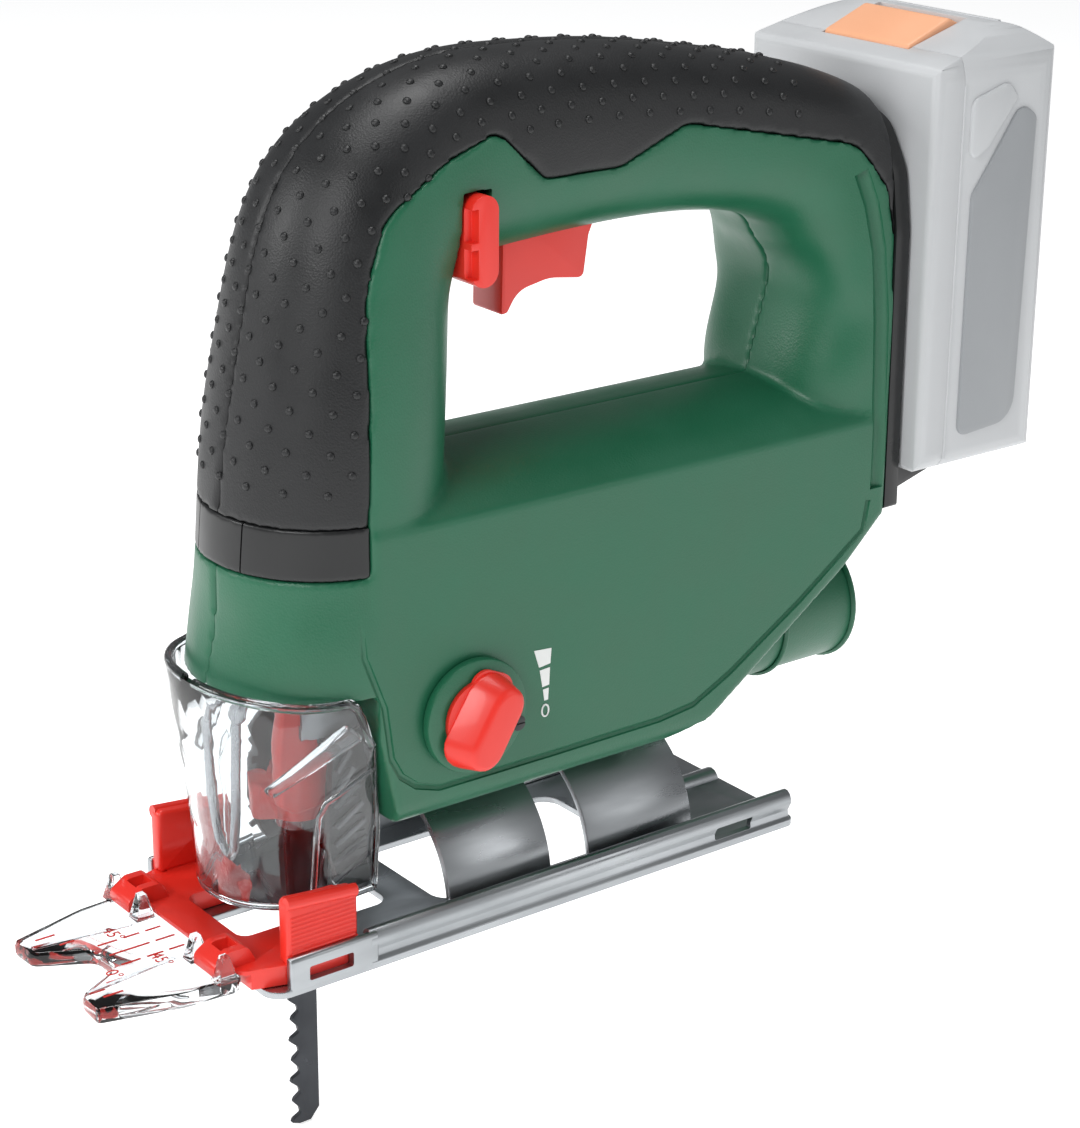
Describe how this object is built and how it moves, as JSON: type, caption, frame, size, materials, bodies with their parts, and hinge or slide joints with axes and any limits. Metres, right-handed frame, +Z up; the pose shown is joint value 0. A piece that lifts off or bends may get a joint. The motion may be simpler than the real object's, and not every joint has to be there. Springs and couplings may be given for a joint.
{
  "type": "cordless jigsaw",
  "caption": "Cordless jigsaw with a D-handle, tilting steel sole, clear chip guard, clip-on line viewer, orbital lever, trigger and slide-on battery.",
  "frame": {"origin": "where the blade's axis crosses the underside of the sole", "axes": "+X to the rear (battery), -X the cutting direction, -Y the tool's left side with the orbital lever, +Z up from the sole"},
  "size_m": [0.2793, 0.074, 0.2619],
  "materials": {
    "green_shell": "fine-textured green nylon",
    "black_grip": "soft black overmould with raised dots",
    "black_plastic": "satin black nylon",
    "red_plastic": "glossy red acetal",
    "clear_plastic": "clear moulded polycarbonate",
    "galvanised": "zinc-plated pressed sheet",
    "blade_steel": "dark coated blade steel",
    "machined_steel": "ground steel",
    "sintered_bronze": "sintered bronze",
    "cast_zinc": "cast, unpolished",
    "laminations": "lacquered laminations",
    "copper": "bright copper",
    "ferrite": "sintered ferrite",
    "board": "solder-masked board",
    "pale_pack": "pale satin plastic",
    "pack_orange": "pale orange satin plastic",
    "cell_wrap": "shrink wrap on steel cells"
  },
  "bodies": {
    "root": {"housing_left": "green_shell", "housing_right": "green_shell", "grip_left": "black_grip", "grip_right": "black_grip", "collar_band": "black_plastic", "housing_screws": "machined_steel", "rear_frame": "black_plastic", "terminal_block": "black_plastic", "terminal_blades": "copper", "dust_port": "green_shell", "motor_can": "galvanised", "motor_magnets": "ferrite", "brush_plate": "black_plastic", "front_bearing": "machined_steel", "rear_bearing": "machined_steel", "gear_axle": "machined_steel", "gear_carrier": "cast_zinc", "lower_bush": "sintered_bronze", "upper_bush": "sintered_bronze", "fork_pin": "machined_steel", "clamp_plate": "galvanised", "clamp_screw": "machined_steel", "clamp_washer": "machined_steel", "front_guard": "black_plastic", "dial_seat": "green_shell", "dial_screw": "machined_steel", "control_pins": "machined_steel", "switch_module": "black_plastic", "control_board": "board"},
    "rotor": {"motor_rotor": "laminations", "commutator": "copper", "cooling_fan": "black_plastic", "pinion": "machined_steel"},
    "gear": {"drive_gear": "machined_steel"},
    "plunger": {"plunger_rod": "machined_steel", "plunger_yoke": "machined_steel", "blade_clamp": "machined_steel", "saw_blade": "blade_steel"},
    "clamp_lever": {"clamp_lever": "red_plastic"},
    "fork": {"roller_fork": "machined_steel", "roller_axle": "machined_steel"},
    "roller": {"guide_roller": "machined_steel"},
    "orbital_lever": {"orbital_lever": "red_plastic"},
    "trigger": {"trigger": "red_plastic"},
    "lock_button": {"lock_button": "red_plastic"},
    "speed_wheel": {"speed_wheel": "black_plastic"},
    "footplate": {"footplate": "galvanised", "rail_left": "galvanised", "rail_right": "galvanised", "cradle_front": "galvanised", "cradle_rear": "galvanised"},
    "cut_line_holder": {"cut_line_holder": "red_plastic", "line_viewer": "clear_plastic"},
    "chip_guard": {"chip_guard": "clear_plastic"},
    "battery": {"pack_case_front": "pale_pack", "pack_case_rear": "pale_pack", "cells": "cell_wrap", "cell_holder": "black_plastic", "pack_board": "board"},
    "pack_button": {"pack_button": "pack_orange"}
  },
  "joints": [
    {"name": "rotor_spin", "type": "hinge", "parent": "root", "child": "rotor", "pos_m": [0.06, 0, 0.0545], "axis": [1, 0, 0], "continuous": true},
    {"name": "gear_spin", "type": "hinge", "parent": "root", "child": "gear", "pos_m": [0.015, 0, 0.08], "axis": [1, 0, 0], "continuous": true},
    {"name": "plunger_stroke", "type": "slide", "parent": "root", "child": "plunger", "axis": [0, 0, 1], "range_m": [-0.01, 0.01]},
    {"name": "clamp_lever_turn", "type": "hinge", "parent": "plunger", "child": "clamp_lever", "pos_m": [0, 0, 0.036], "axis": [0, 0, 1], "range_deg": [-45, 0], "stiffness_Nm_per_rad": 0.02, "springref_deg": 11.46},
    {"name": "fork_swing", "type": "hinge", "parent": "root", "child": "fork", "pos_m": [0.014, 0, 0.046], "axis": [0, 1, 0], "range_deg": [-3, 0]},
    {"name": "roller_spin", "type": "hinge", "parent": "fork", "child": "roller", "pos_m": [0.0094, 0, 0.013], "axis": [0, 1, 0], "continuous": true},
    {"name": "orbital_lever_turn", "type": "hinge", "parent": "root", "child": "orbital_lever", "pos_m": [0.03, -0.036, 0.056], "axis": [0, 1, 0], "range_deg": [0, 66]},
    {"name": "trigger_press", "type": "hinge", "parent": "root", "child": "trigger", "pos_m": [0.06, 0, 0.165], "axis": [0, 1, 0], "range_deg": [-6, 0], "stiffness_Nm_per_rad": 1.2, "springref_deg": 6.88},
    {"name": "lock_button_press", "type": "slide", "parent": "root", "child": "lock_button", "axis": [0, 1, 0], "range_m": [0, 0.003], "stiffness_N_per_m": 400, "springref_m": -0.002},
    {"name": "speed_wheel_turn", "type": "hinge", "parent": "root", "child": "speed_wheel", "pos_m": [0.148, 0, 0.18], "axis": [0, 1, 0], "range_deg": [0, 270]},
    {"name": "footplate_tilt", "type": "hinge", "parent": "root", "child": "footplate", "pos_m": [0, 0, 0.004], "axis": [1, 0, 0], "range_deg": [-8, 8]},
    {"name": "cut_line_holder_slide", "type": "slide", "parent": "footplate", "child": "cut_line_holder", "axis": [-1, 0, 0], "range_m": [0, 0.04]},
    {"name": "chip_guard_slide", "type": "slide", "parent": "root", "child": "chip_guard", "axis": [-1, 0, 0], "range_m": [0, 0.05]},
    {"name": "battery_slide", "type": "slide", "parent": "root", "child": "battery", "axis": [0, 0, 1], "range_m": [0, 0.075]},
    {"name": "pack_button_press", "type": "slide", "parent": "battery", "child": "pack_button", "axis": [0, 0, -1], "range_m": [0, 0.0025], "stiffness_N_per_m": 600, "springref_m": -0.002}
  ],
  "couplings": [
    {"joint": "gear_spin", "follows": "rotor_spin", "ratio": -0.21429}
  ]
}
